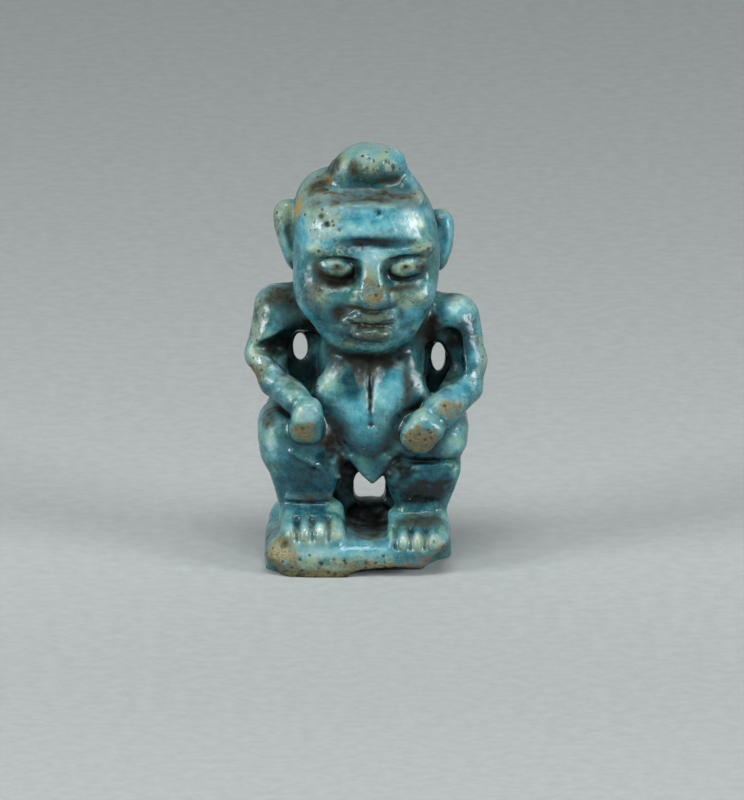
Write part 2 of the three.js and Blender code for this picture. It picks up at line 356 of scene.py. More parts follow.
def shape_mouth(clay):
    """Full lips that stand out from the face, cut off sharply at the right end and deep set at the left."""
    clay.press(lump((-0.2, -3.9, -3.9), (2.0, 0.9, 1.3), 2.3, frame=HEAD), 0.5)
    clay.carve(lump((-2.3, -5.25, -3.4), (0.5, 0.8, 0.8), frame=HEAD), 0.6)
    clay.press(limb((-1.8, -4.5, -3.7), (-0.95, -4.95, -3.32), 0.38, 0.46, HEAD), 0.1)
    clay.press(limb((-0.95, -4.95, -3.32), (0.0, -5.0, -3.5), 0.46, 0.44, HEAD), 0.1)
    clay.press(limb((0.0, -5.0, -3.5), (1.3, -4.85, -3.38), 0.44, 0.46, HEAD), 0.1)
    clay.press(lump((0.0, -4.7, -4.6), (1.45, 0.9, 0.58), 2.1, frame=HEAD), 0.1)
    clay.score([(-1.0, 18.35), (-0.2, 18.15), (0.6, 18.1), (1.3, 18.25), (2.1, 18.35)], (0.16, 0.16), 0.04)
    clay.carve(lump((0.1, -5.3, -5.5), (1.5, 0.7, 0.28), frame=HEAD), 0.4)
    clay.carve(lump((1.95, -5.35, -3.8), (0.36, 1.0, 1.1), frame=HEAD), 0.15)


def shape_face(clay):
    """The ledge along the front of the crown, the frown line, eyes, nose, mouth and cheeks."""
    for side in (-1, 1):
        clay.press(lump((side * 2.9, -3.7, -2.2), (1.5, 1.1, 1.3), frame=HEAD), 0.8)
        clay.press(lump((side * 2.3, -3.7, 1.35), (2.2, 0.95, 0.6), frame=HEAD), 0.6)
    clay.carve(block((0.1, -2.25, 6.3), (4.0, 2.3, 1.3), 1.1, (20, 0, 0), HEAD), 0.6)
    shape_eye(clay, -1, 1.35)
    shape_eye(clay, 1, 1.45)
    clay.carve(lump((-0.25, -5.25, 1.82), (2.95, 0.72, 0.48), 2, (0, 4, 0), HEAD), 0.45)
    clay.carve(lump((3.0, -5.0, 1.7), (1.5, 0.5, 0.3), frame=HEAD), 0.4)
    shape_nose(clay)
    shape_mouth(clay)


def shape_ears(clay):
    sizes = (
        {"side": -1, "at": (-5.15, 0.7, 1.1), "half": (1.1, 1.0, 2.6), "lean": 8, "flare": 0.3},
        {"side": 1, "at": (5.05, 0.7, 0.6), "half": (1.0, 0.95, 2.2), "lean": 2, "flare": 0.2},
    )
    for ear in sizes:
        side, (x, y, z) = ear["side"], ear["at"]
        turn = (0, side * ear["lean"], side * -15)
        clay.press(lump(ear["at"], ear["half"], 2.4, turn, HEAD, ear["flare"]), 0.15)
        clay.carve(lump((x + side * 0.1, y - 1.25, z + 0.2), (0.4, 0.5, 1.4), turn=turn, frame=HEAD), 0.3)


def shape_beetle(clay):
    """The beetle on the crown, worn down to two lumps that run together, and one leg."""
    clay.press(lump((0.1, 0.3, 5.2), (2.75, 2.2, 1.9), 2.3, frame=HEAD), 0.8)
    clay.press(lump((-1.6, -0.5, 5.9), (1.15, 1.5, 1.1), 2.2, (0, -30, 0), HEAD), 0.6)
    clay.press(lump((0.4, -0.7, 6.7), (2.15, 1.9, 1.2), 2.2, (0, 7, 0), HEAD), 1.0)
    clay.press(limb((3.4, -2.8, 4.4), (2.65, -0.9, 5.6), 0.42, 0.45, HEAD), 0.35)


def shape_torso(clay):
    """A chest with blunt upright edges that rises into the neck, and the back of the hips."""
    middle = BODY_MIDDLE
    clay.press(lump((middle + 0.2, -0.3, 14.2), (3.65, 2.5, 3.6), 2.8), 0.9)
    clay.press(lump((middle, 0.9, 9.2), (4.5, 2.9, 2.9), 2.6), 0.8)
    for side in (-1, 1):
        clay.press(lump((middle + side * 2.0, 2.4, 8.6), (2.2, 1.9, 2.3)), 0.4)
    clay.press(limb(LEFT["shoulder"], RIGHT["shoulder"], 1.5, 1.5), 0.8)
    clay.press(limb((-5.3, 0.5, 18.1), (-2.6, 0.8, 18.9), 1.35, 1.3), 0.5)
    clay.press(limb((2.6, 0.8, 18.4), (5.6, 0.5, 17.2), 1.4, 1.5), 0.5)


def shape_lap(clay):
    """The hips, which join the thighs and fill the sides of the belly."""
    clay.press(lump((BODY_MIDDLE, -1.2, 8.6), (3.6, 2.3, 1.6), 2.6), 0.6)
    clay.press(lump((BODY_MIDDLE, -1.1, 10.6), (3.7, 2.3, 2.2), 2.8), 0.6)


def shape_belly(clay):
    """Two slanted facets beside flat breasts, a long groove between them, and a belly that narrows to a point."""
    middle = BODY_MIDDLE
    clay.press(limb((-1.75, -2.3, 14.5), (-2.75, -2.35, 12.4), 0.5, 0.75), 0.5)
    clay.press(limb((3.1, -2.3, 14.8), (4.0, -2.2, 12.4), 0.5, 0.65), 0.5)
    clay.press(lump((middle - 1.4, -2.3, 13.1), (1.2, 1.1, 1.8), 2.2), 0.7)
    clay.press(lump((middle + 1.75, -2.45, 13.0), (1.55, 1.15, 1.8), 2.4), 0.5)
    clay.press(lump((middle, -1.3, 10.3), (2.4, 2.75, 3.1), 3.0, (-4, 0, 0), flare=0.62), 0.8)
    clay.press(lump((-1.9, -2.1, 11.6), (1.9, 1.35, 2.0), 2.5), 0.5)
    clay.press(lump((3.1, -2.1, 12.6), (1.5, 1.2, 1.6), 2.2), 0.5)
    clay.score([(middle + 0.02 * step, 13.9 - 0.7 * step) for step in range(5)], (0.1, 0.1), 0.3)
    clay.carve(lump((middle + 0.12, -4.2, 10.5), (0.24, 0.4, 0.26)), 0.15)
    clay.carve(limb((middle, 4.0, 17), (middle, 4.1, 9), 0.5, 0.6), 0.5)


def shape_apron(clay):
    """A pointed apron under the belly, and behind it a web between the legs with a round hole through it."""
    middle = BODY_MIDDLE
    clay.press(block((middle, 0.9, 4.0), (2.8, 1.9, 3.6), 0.8), 0.4)
    clay.carve(lump((middle, 0.6, 4.95), (1.15, 4.5, 1.25), 2.6, (-12, 0, 0)), 0.2)
    clay.press(lump((middle + 0.2, -2.55, 7.4), (1.35, 1.3, 1.35), 3.5, flare=0.88), 0.1)


def shape_leg(clay, side):
    """The thigh overhangs the shin, whose flat front falls back to a roll of clay above the foot."""
    sign = side["sign"]
    clay.press(lump(side["thigh"], side["thigh_half"], 3.4, (0, sign * 5, 0)), 0.3)
    clay.press(lump(side["shin"], side["shin_half"], 5, (19, 0, sign * 5), flare=side["shin_flare"]), 0.25)
    clay.roll(side["knee"], (0.28, 0.26), 0.15)
    clay.roll(side["ankle"], (0.24, 0.24), 0.2)


def shape_base(clay):
    half = (BASE_WIDTH / 2, BASE_DEPTH / 2, BASE_TOP + 0.2)
    clay.press(lump((-0.35, -0.6, 0.2), half, 5), 0.5)
    clay.press(block((-0.3, 3.0, 1.5), (half[0] - 0.3, 1.5, 1.9), 1.4), 0.5)
    clay.press(lump((-5.3, -4.3, 1.3), (1.5, 1.5, 1.5)), 0.5)


def shape_foot(clay, side):
    """A broad foot that slopes down to the front, with grooves that part the toes."""
    drop = side["toe_drop"]
    clay.press(lump(side["foot"], side["foot_half"], 4, (25, 0, 0)), 0.35)
    for x in side["toe_grooves"]:
        clay.score([(x, height - drop) for height in (4.0, 3.6, 3.1, 2.7)], (0.24, 0.28), 0.15)


def shape_gap(clay):
    """The hollow between the feet, which runs back to the hole in the web."""
    clay.carve(lump((BODY_MIDDLE, -1.4, 3.2), (1.6, 3.4, 0.9), turn=(6, 0, 0)), 0.4)


def shape_arm(clay, side):
    """A web of clay joins each bent arm to the flank, and a hole is pierced through it."""
    sign = side["sign"]
    radii = side["arm_radii"]
    fist = side["fist"]
    front, back = (np.array(side["hole"][end]) for end in ("front", "back"))
    fall = math.degrees(math.atan2(front[2] - back[2], back[1] - front[1]))
    half_width, half_height = side["hole"]["half"]
    clay.press(block((sign * 4.7 + 0.2, 1.5, 14.4), (2.0, 0.9, 4.0), 0.8), 0.7)
    clay.press(limb(side["shoulder"], side["elbow"], radii[0], radii[1]), 0.4)
    clay.press(limb(side["elbow"], side["bend"], radii[1], radii[2]), 0.5)
    clay.press(limb(side["bend"], side["wrist"], radii[2], radii[3]), 0.3)
    for cut in side["hollow"]:
        clay.carve(limb(*cut), 0.25)
    clay.press(lump(fist["at"], fist["half"], 3, fist["turn"], flare=fist["flare"]), 0.3)
    clay.carve(lump((front + back) / 2, (half_width, 6.0, half_height), turn=(-fall, 0, 0)), 0.25)


def shape_loop(clay):
    """The loop behind the neck that the amulet hung from."""
    x, y, z = LOOP_AT
    reach = 4
    clay.press(lump((x, y - 0.8, z), (1.0, 1.6, 1.7), 2.4), 0.4)
    clay.carve(limb((x - reach, y, z), (x + reach, y, z), LOOP_HOLE_RADIUS, LOOP_HOLE_RADIUS), 0.15)


def shape_breaks(clay):
    """The underside is broken away along the front and at one corner, and the other front corner is worn round."""
    clay.carve(lump((3.4, -6.6, -0.5), (4.6, 3.0, 1.2), 3), 0.3)
    clay.carve(lump((8.2, -4.6, -0.8), (4.2, 5.0, 3.6)), 0.4)
    clay.carve(lump((-7.4, -5.8, -0.5), (1.9, 2.4, 1.8)), 0.6)


# Bubbles that burst in the glaze: where each pit shows from the front, as x and z, and its radius
PITS = (
    (-2.9, 25.6, 0.2),
    (-2.5, 25.1, 0.24),
    (-1.6, 24.8, 0.16),
    (1.1, 25.9, 0.2),
    (1.6, 29.1, 0.15),
    (2.1, 28.7, 0.17),
    (0.4, 29.3, 0.13),
    (-1.8, 22.25, 0.13),
    (2.95, 22.15, 0.14),
    (-5.5, 2.3, 0.28),
    (-6.1, 1.6, 0.16),
    (-4.4, 1.3, 0.13),
    (-2.9, 1.0, 0.15),
    (-1.3, 1.2, 0.12),
    (0.2, 1.0, 0.16),
    (1.5, 1.1, 0.13),
    (5.6, 2.1, 0.16),
)


def shape_pits(clay):
    for x, z, radius in PITS:
        clay.carve(lump(clay.front(x, z), (radius, 0.8 * radius, radius)), 0.12)


def shape_figure(cell):
    """The whole figure in clay, built up in the order in which its parts cover one another."""
    clay = Clay(BLOCK_LOW, BLOCK_HIGH, cell)
    shape_head(clay)
    shape_torso(clay)
    for side in (LEFT, RIGHT):
        shape_leg(clay, side)
    shape_lap(clay)
    shape_belly(clay)
    shape_apron(clay)
    shape_base(clay)
    for side in (LEFT, RIGHT):
        shape_foot(clay, side)
    shape_gap(clay)
    for side in (LEFT, RIGHT):
        shape_arm(clay, side)
    shape_face(clay)
    shape_ears(clay)
    shape_beetle(clay)
    shape_loop(clay)
    shape_breaks(clay)
    shape_pits(clay)
    ground = clay.low[2] + cell * np.arange(clay.outside.shape[2])
    clay.outside = np.maximum(clay.outside, -ground.astype(np.float32))
    return clay


def ripple(points, wavelength, seed, waves=14):
    """A gentle unevenness of about that wavelength, mostly between -1 and 1."""
    random = np.random.default_rng(seed)
    directions = random.normal(size=(waves, 3))
    directions /= np.linalg.norm(directions, axis=1, keepdims=True)
    phases = random.uniform(0, math.tau, waves)
    return np.cos(points @ directions.T * (math.tau / wavelength) + phases).mean(axis=1) * math.sqrt(waves / 2)


def mesh_normals(corners, quads):
    """The outward direction at each corner, from the faces around it."""
    facing = np.cross(corners[quads[:, 2]] - corners[quads[:, 0]], corners[quads[:, 3]] - corners[quads[:, 1]])
    sums = np.stack(
        [np.bincount(quads.ravel(), weights=np.repeat(facing[:, axis], 4)) for axis in range(3)], axis=1
    )
    return sums / np.maximum(np.linalg.norm(sums, axis=1, keepdims=True), 1e-9)


def bend(clay, corners, normals, reach):
    """How the skin curves at a scale: above 0 on ridges, below 0 in hollows."""
    side = np.cross(normals, [0.31, 0.17, 0.93])
    side /= np.maximum(np.linalg.norm(side, axis=1, keepdims=True), 1e-9)
    other = np.cross(normals, side)
    around = (side, -side, other, -other)
    return sum(clay.at(corners + reach * way) for way in around) / (4 * reach)


def shelter(clay, corners, normals):
    """How closed in the skin is: 0 out in the open, towards 1 deep in a hollow or under an overhang."""
    ways = normals + np.array([(0, 0, 0), (-0.7, -0.3, 0.6), (0.7, -0.3, 0.6), (0, -0.9, 0), (0, 0, 0.9)])[:, None]
    ways /= np.linalg.norm(ways, axis=2, keepdims=True)
    closed = 0
    for reach in (0.7, 1.4, 2.2):
        closed += np.mean([1 - np.clip(clay.at(corners + reach * way) / reach, 0, 1) for way in ways], axis=0)
    return closed / 3


def smooth_step(low, high, value):
    share = np.clip((value - low) / (high - low), 0, 1)
    return share * share * (3 - 2 * share)


# Patches of the skin that differ from the plain glaze, some with painted shade and highlights: the middle of each
# and its half sizes
PATCHES = {
    "bare": (
        ((0.55, -5.7, 21.1), (0.5, 1.2, 0.5)),
        ((0.75, -5.9, 20.3), (1.0, 1.2, 0.7)),
        ((-4.15, -5.4, 10.4), (0.9, 0.8, 0.75)),
        ((4.1, -5.4, 9.8), (1.2, 0.8, 1.1)),
        ((6.1, -4.6, 11.8), (1.0, 1.2, 0.65)),
        ((-7.6, -1.0, 13.6), (0.5, 1.2, 0.9)),
        ((-5.9, -5.4, 1.3), (1.3, 1.4, 1.4)),
        ((-3.2, -6.0, 0.2), (3.4, 1.4, 0.4)),
        ((0.6, -5.8, 0.8), (2.4, 1.0, 0.35)),
    ),
    "thin": (
        ((-2.9, -4.6, 25.4), (1.6, 1.4, 1.6)),
        ((-2.3, -5.2, 23.3), (1.9, 1.0, 0.5)),
        ((4.3, -4.3, 23.2), (1.2, 1.2, 0.6)),
        ((-3.3, -4.8, 20.1), (0.9, 1.0, 0.9)),
        ((3.2, -4.9, 19.7), (1.2, 1.0, 0.6)),
        ((0.6, -2.6, 28.9), (1.9, 1.2, 0.9)),
        ((-3.5, -1.6, 27.2), (1.6, 2.0, 1.2)),
        ((-5.5, -0.4, 25.2), (0.7, 0.8, 1.1)),
        ((8.7, -0.9, 15.2), (0.7, 1.5, 3.6)),
        ((-7.2, -1.6, 13.6), (0.9, 1.5, 1.5)),
        ((-7.6, -0.6, 17.2), (0.6, 1.5, 1.6)),
        ((0.3, -5.4, 18.3), (2.0, 0.9, 1.3)),
        ((-2.1, -5.0, 22.1), (1.2, 0.9, 0.6)),
        ((2.9, -5.0, 22.1), (1.4, 0.9, 0.6)),
        ((0.3, -4.2, 16.7), (1.9, 0.9, 0.6)),
        ((-2.5, -5.4, 3.4), (1.4, 0.9, 0.7)),
        ((-1.6, -6.0, 0.9), (4.8, 1.0, 0.9)),
        ((5.2, -5.4, 2.2), (1.6, 1.0, 0.6)),
    ),
    # Brown-grey dirt, and painted shade in some: the line along the foot of the base is a painted contact shadow,
    # and the patches under the eyes, at the top of the chest groove and on the left ankle crease paint shade.
    "stain_and_painted_shade": (
        ((0.5, -3.0, 26.6), (4.0, 1.4, 0.65)),
        ((-3.3, -1.9, 27.3), (1.3, 1.3, 0.8)),
        ((-2.5, -2.3, 27.6), (0.5, 0.8, 0.3)),
        ((2.0, -2.6, 27.7), (1.0, 0.9, 0.3)),
        ((-1.9, -1.6, 28.9), (0.4, 1.0, 0.9)),
        ((-0.6, -2.4, 28.7), (0.4, 0.6, 0.6)),
        ((-3.1, -4.6, 21.9), (0.5, 0.8, 0.6)),
        ((-2.0, -4.7, 20.95), (1.1, 0.9, 0.3)),
        ((2.7, -4.9, 20.6), (1.3, 0.9, 0.25)),
        ((-1.6, -4.9, 18.8), (0.55, 0.9, 0.6)),
        ((-0.6, -5.2, 19.4), (1.0, 0.8, 0.2)),
        ((-1.8, -5.3, 22.2), (0.42, 0.5, 0.24)),
        ((2.95, -5.0, 22.1), (0.35, 0.5, 0.2)),
        ((-5.4, -0.9, 19.0), (1.8, 1.6, 0.9)),
        ((5.8, -0.2, 19.2), (1.4, 1.0, 0.4)),
        ((4.4, -1.2, 16.6), (1.0, 1.2, 1.4)),
        ((3.1, -3.1, 13.2), (0.4, 0.9, 1.2)),
        ((0.4, -2.9, 15.0), (1.9, 1.0, 0.8)),
        ((0.4, -3.4, 14.2), (0.7, 0.9, 0.9)),
        ((-2.4, -2.9, 15.2), (0.8, 1.0, 1.0)),
        ((0.6, 0.0, 2.4), (1.6, 4.0, 0.6)),
        ((-6.9, -1.2, 3.2), (0.6, 2.4, 1.3)),
        ((4.0, -4.5, 3.7), (1.8, 1.2, 0.3)),
        ((-3.7, -3.8, 5.2), (1.5, 0.8, 0.3)),
        ((-0.9, -6.0, 0.15), (6.0, 2.0, 0.35)),
        ((4.1, -4.4, 22.1), (0.45, 0.8, 0.5)),
        ((-2.4, -1.0, 28.4), (0.9, 1.4, 0.7)),
        ((-6.6, -3.0, 10.9), (0.6, 1.4, 0.8)),
    ),
    # Painted highlights as well as milky glaze: these patches lighten the tone where light catches the forehead, jaw
    # rim, fist, knees, toes and base top.
    "milky_and_painted_highlight": (
        ((3.3, -4.4, 25.1), (1.0, 1.2, 0.7)),
        ((-1.0, -5.1, 24.8), (2.6, 1.2, 0.6)),
        ((-3.9, -3.9, 24.0), (0.9, 1.2, 1.6)),
        ((0.6, -5.1, 22.9), (0.9, 0.9, 0.7)),
        ((3.2, -4.6, 18.8), (1.0, 1.0, 0.9)),
        ((-3.8, -5.9, 2.2), (1.2, 0.8, 0.6)),
        ((-5.9, -5.4, 1.4), (1.0, 1.2, 0.9)),
        ((1.7, -3.7, 12.8), (1.2, 0.9, 1.2)),
        ((-2.2, -4.9, 22.5), (0.6, 0.6, 0.15)),
        ((3.0, -4.9, 22.5), (0.7, 0.6, 0.16)),
        ((0.3, -4.2, 16.3), (1.8, 1.0, 0.45)),
        ((-3.9, -3.2, 18.6), (0.7, 1.2, 1.2)),
        ((-5.1, -0.6, 23.2), (0.8, 1.0, 1.8)),
        ((5.8, -0.5, 23.1), (1.0, 1.0, 1.8)),
        ((0.6, -3.0, 26.7), (3.6, 1.0, 0.4)),
        ((-4.1, -5.5, 11.5), (1.0, 0.8, 0.55)),
        ((-1.0, -3.9, 11.6), (1.0, 0.9, 0.9)),
        ((-2.9, -3.3, 12.6), (0.6, 0.9, 0.8)),
        ((4.2, -2.9, 12.9), (0.3, 0.9, 0.5)),
        ((-1.7, -5.0, 2.8), (0.7, 0.9, 0.5)),
        ((-4.7, -3.3, 5.15), (0.7, 0.6, 0.18)),
        ((-3.6, -3.2, 17.6), (0.7, 1.2, 0.9)),
        ((-2.2, -3.6, 16.6), (1.0, 1.0, 0.5)),
        ((2.5, -4.2, 16.8), (1.4, 1.2, 0.7)),
        ((3.9, -3.6, 18.0), (0.6, 1.2, 0.9)),
        ((-3.1, -5.5, 3.4), (1.0, 0.7, 0.5)),
        ((3.5, -5.8, 2.7), (1.4, 0.7, 0.45)),
        ((-2.4, -3.1, 13.5), (0.4, 0.9, 0.9)),
        ((-2.8, -5.8, 1.8), (2.3, 1.0, 0.5)),
        ((-6.4, -3.6, 9.3), (0.4, 0.9, 0.5)),
        ((6.4, -3.7, 9.3), (1.0, 1.0, 0.9)),
        ((-7.5, -1.6, 15.0), (0.6, 1.2, 0.7)),
        ((6.5, -1.2, 18.1), (0.7, 1.2, 0.6)),
    ),
    # Painted shade as well as thick glaze: these patches darken the tone on the shins, the apron, the lower belly,
    # under the lip and under the eyes.
    "thick_glaze_and_painted_shade": (
        ((1.3, -3.5, 14.1), (0.6, 1.0, 0.7)),
        ((7.2, -2.2, 14.4), (0.6, 1.4, 0.9)),
        ((-7.0, -1.4, 17.6), (0.9, 1.3, 0.9)),
        ((4.0, -4.7, 23.4), (0.9, 0.8, 0.5)),
        ((3.4, -3.0, 14.4), (0.9, 1.0, 1.2)),
        ((-5.0, -4.2, 12.2), (0.7, 1.2, 0.6)),
        ((-4.9, -4.3, 12.8), (1.3, 1.4, 0.7)),
        ((5.2, -3.6, 6.8), (1.2, 1.0, 0.8)),
        ((1.2, -3.4, 14.3), (0.8, 1.0, 0.6)),
        ((0.5, -4.0, 8.8), (1.3, 1.0, 0.7)),
        ((0.8, -3.8, 7.4), (1.5, 1.0, 1.0)),
        ((-4.2, -4.0, 7.6), (2.2, 1.0, 1.0)),
        ((-3.6, -3.8, 6.4), (2.2, 1.0, 1.2)),
        ((-6.9, -1.9, 13.2), (0.9, 1.4, 1.2)),
        ((-3.4, -4.9, 20.1), (0.9, 1.0, 0.9)),
        ((-2.0, -4.9, 21.8), (1.2, 0.8, 0.4)),
        ((-6.9, -1.2, 2.6), (0.8, 3.0, 2.0)),
        ((0.3, -5.6, 17.5), (1.6, 0.8, 0.6)),
    ),
    # Painted shade as well as darker glaze: these patches darken the tone in the groin, on the shins and feet, along
    # the lips, under the eyes and in the frown.
    "deep": (
        ((-2.2, -3.7, 9.4), (0.8, 1.2, 1.5)),
        ((-0.8, -3.6, 13.5), (0.8, 1.0, 1.6)),
        ((2.8, -3.8, 10.6), (0.6, 1.0, 1.6)),
        ((4.4, -3.7, 5.7), (2.0, 1.2, 1.0)),
        ((0.3, -5.6, 17.4), (1.6, 0.8, 0.5)),
        ((0.4, -5.6, 18.8), (1.8, 0.8, 0.3)),
        ((0.5, -5.6, 18.1), (1.7, 0.8, 0.12)),
        ((-3.6, -4.2, 3.9), (2.3, 1.0, 0.7)),
        ((4.0, -4.6, 3.6), (2.3, 1.2, 0.8)),
        ((-3.0, -4.8, 21.0), (1.6, 1.0, 0.6)),
        ((0.1, -4.8, 23.8), (2.3, 1.0, 0.5)),
        ((7.0, -1.4, 16.6), (0.9, 1.4, 1.6)),
    ),
    # Painted shade, with some dirt: dark patches in the arm hollows, eye sockets, under the chin, in the chest
    # groove, between the legs, and a painted contact shadow along the foot of the base.
    "shade_and_dirt_patches": (
        ((-5.5, -1.4, 15.4), (1.5, 2.3, 1.0)),
        ((-4.6, -1.8, 14.0), (1.3, 2.2, 1.6)),
        ((5.3, -1.8, 14.7), (1.25, 2.2, 1.9)),
        ((0.5, -2.8, 15.2), (2.3, 1.2, 0.6)),
        ((0.5, -3.8, 12.6), (0.18, 1.2, 1.4)),
        ((0.5, -5.5, 18.15), (1.4, 0.7, 0.1)),
        ((-1.9, -4.8, 21.0), (1.0, 0.8, 0.28)),
        ((-1.6, -3.7, 7.7), (0.45, 0.9, 0.9)),
        ((2.6, -3.7, 7.3), (1.0, 1.0, 0.8)),
        ((-2.2, -3.7, 9.0), (0.5, 1.0, 1.0)),
        ((6.0, -2.0, 13.8), (0.8, 1.5, 0.8)),
        ((-0.85, -4.6, 21.3), (0.55, 0.8, 0.5)),
        ((2.7, -4.7, 21.1), (1.1, 0.8, 0.15)),
        ((0.5, 1.5, 3.9), (1.4, 3.0, 0.4)),
        ((-1.3, -4.5, 21.1), (0.5, 0.8, 0.7)),
        ((1.2, -4.5, 21.5), (0.4, 0.8, 0.8)),
        ((0.5, -1.2, 5.6), (1.9, 2.0, 1.6)),
        ((-0.1, -0.2, 3.4), (1.3, 2.6, 0.8)),
        ((-0.9, -6.0, 0.12), (6.0, 1.6, 0.3)),
        ((-4.2, 1.0, 19.4), (0.8, 1.0, 1.2)),
        ((-3.4, -1.0, 17.1), (1.2, 1.2, 0.6)),
        ((4.5, -0.9, 16.9), (0.8, 1.2, 0.9)),
    ),
    "blue": (
        ((0.6, -4.7, 25.6), (2.4, 1.2, 0.9)),
        ((-4.3, -3.6, 23.6), (0.7, 1.4, 1.8)),
        ((-1.6, -5.0, 23.9), (1.6, 1.0, 0.5)),
        ((3.5, -4.6, 18.7), (1.4, 1.2, 1.3)),
        ((-3.6, -3.6, 17.6), (1.2, 1.4, 1.6)),
        ((1.7, -3.6, 13.2), (1.4, 1.0, 1.5)),
        ((-0.6, -4.1, 11.2), (1.4, 1.0, 1.4)),
        ((0.6, -3.9, 9.4), (1.2, 1.0, 0.9)),
        ((8.0, -1.4, 15.6), (0.8, 1.4, 2.4)),
        ((6.9, -3.0, 12.9), (1.2, 1.2, 0.9)),
        ((6.1, -1.2, 17.5), (1.4, 1.2, 1.0)),
        ((5.6, -0.4, 23.0), (0.8, 1.4, 1.8)),
        ((0.1, -4.8, 23.8), (2.3, 1.0, 0.5)),
        ((1.0, -5.6, 1.9), (3.4, 1.0, 0.7)),
        ((2.5, -1.4, 28.9), (0.9, 1.4, 0.8)),
        ((-5.2, -3.2, 7.4), (1.0, 1.4, 1.4)),
        ((-4.0, -3.8, 6.2), (2.2, 1.2, 1.6)),
        ((4.2, -3.7, 6.4), (2.0, 1.2, 1.4)),
        ((7.0, -1.4, 16.4), (0.9, 1.4, 1.6)),
    ),
    "olive": (
        ((-3.7, -2.8, 26.9), (1.5, 1.6, 1.3)),
        ((-2.1, -4.8, 22.1), (0.7, 0.9, 0.4)),
        ((2.9, -4.8, 22.1), (0.9, 0.9, 0.4)),
        ((-3.6, -1.0, 26.9), (1.6, 2.0, 1.4)),
        ((-7.3, -1.4, 13.9), (0.8, 1.5, 1.6)),
        ((-1.4, -1.4, 28.9), (0.9, 1.2, 0.6)),
        ((0.5, -5.2, 21.7), (0.5, 1.0, 0.7)),
        ((0.3, -5.4, 18.2), (1.9, 0.9, 1.0)),
        ((-5.7, -0.4, 24.6), (0.9, 1.0, 1.8)),
        ((-2.9, -4.5, 25.8), (1.3, 1.2, 0.9)),
        ((0.7, -2.8, 28.8), (1.7, 1.2, 0.7)),
        ((-3.0, -1.6, 27.7), (0.8, 1.4, 0.9)),
        ((-7.4, -0.6, 17.0), (0.6, 1.5, 1.6)),
        ((8.7, -0.9, 15.2), (0.5, 1.5, 3.4)),
        ((-3.2, -4.9, 20.1), (0.7, 1.0, 0.8)),
        ((3.3, -4.9, 19.8), (1.2, 1.0, 0.6)),
        ((-3.6, -5.9, 3.2), (2.2, 0.8, 0.8)),
        ((-1.6, -6.0, 0.8), (4.8, 1.0, 0.8)),
        ((4.2, -6.0, 2.6), (2.2, 0.8, 0.8)),
    ),
    "ochre": (
        ((-4.55, -1.4, 25.6), (0.4, 1.0, 0.9)),
        ((-2.5, -1.7, 27.6), (0.35, 0.8, 0.4)),
    ),
    "rust": (
        ((3.6, -5.6, 0.7), (0.9, 1.2, 0.3)),
        ((4.8, -5.6, 1.2), (0.8, 1.2, 0.35)),
        ((5.8, -5.4, 1.9), (0.6, 1.2, 0.5)),
        ((-1.4, -1.6, 7.0), (0.5, 1.0, 0.5)),
    ),
}


def patch_mask(points, patches, edge, unevenness):
    """1 inside any of the patches, fading out across an uneven edge."""
    uneven = unevenness * (ripple(points, 1.1, 5) + 0.6 * ripple(points, 0.45, 6))
    mask = np.zeros(len(points))
    for at, half in patches:
        level = np.linalg.norm((points - at) / half, axis=1)
        mask = np.maximum(mask, 1 - smooth_step(1 - edge, 1 + edge, level + uneven))
    return mask


def glazed_figure(cell):
    clay = shape_figure(cell)
    corners, quads = clay.skin()
    normals = mesh_normals(corners, quads)
    corners -= clay.at(corners)[:, None] * normals
    edges = {"bare": 0.3, "ochre": 0.4}
    marks = {name: patch_mask(corners, patches, edges.get(name, 0.6), 0.25) for name, patches in PATCHES.items()}
    fine, broad = (bend(clay, corners, normals, reach) for reach in (0.35, 1.0))
    closed = shelter(clay, corners, normals)
    marks["ridge"] = smooth_step(0.08, 0.4, fine)
    # Painted shade: closed hollows and tight creases get the dark crevice colour, beside the real pits of burst
    # bubbles.
    hidden = np.maximum(smooth_step(0.72, 0.95, closed), 0.2 * smooth_step(0.35, 0.8, -fine))
    pits = patch_mask(corners, [(clay.front(x, z), (radius,) * 3) for x, z, radius in PITS], 0.5, 0)
    # Painted shade along the toe grooves.
    toe_lines = [(clay.front(x, 3.4 - side["toe_drop"]), (0.17, 0.6, 0.7))
                 for side in (LEFT, RIGHT) for x in side["toe_grooves"]]
    lines = patch_mask(corners, toe_lines, 0.5, 0)
    marks["crevice"] = np.maximum.reduce([hidden, 0.8 * pits, 0.5 * lines, marks.pop("shade_and_dirt_patches")])
    # Painted light and shade: the tone is lighter on faces that point up and on broad swells, and darker in closed
    # hollows and creases.
    tone_with_painted_light = 0.5 + 0.3 * normals[:, 2] + 0.3 * broad - 0.4 * closed - 0.4 * smooth_step(0.1, 0.6, -fine)
    # Painted shade: the thick patches darken the tone where shade falls.
    tone_with_painted_light -= 0.2 * marks.pop("thick_glaze_and_painted_shade")
    # The milky patches lighten the tone as painted highlights; the deep patches darken it as painted shade.
    marks["tone_with_painted_light"] = tone_with_painted_light + 0.32 * marks.pop("milky_and_painted_highlight") - 0.35 * marks.pop("deep")
    above = smooth_step(0.0, 0.3, corners[:, 2])
    rise = 0.045 * ripple(corners, 2.6, 1) + 0.02 * ripple(corners, 1.1, 2) + 0.007 * ripple(corners, 0.6, 4)
    rise += marks["bare"] * (0.025 * ripple(corners, 0.5, 3) - 0.05)
    corners = corners + (rise * above)[:, None] * normals
    corners[:, 2] = np.maximum(corners[:, 2], 0)
    return corners, quads, marks


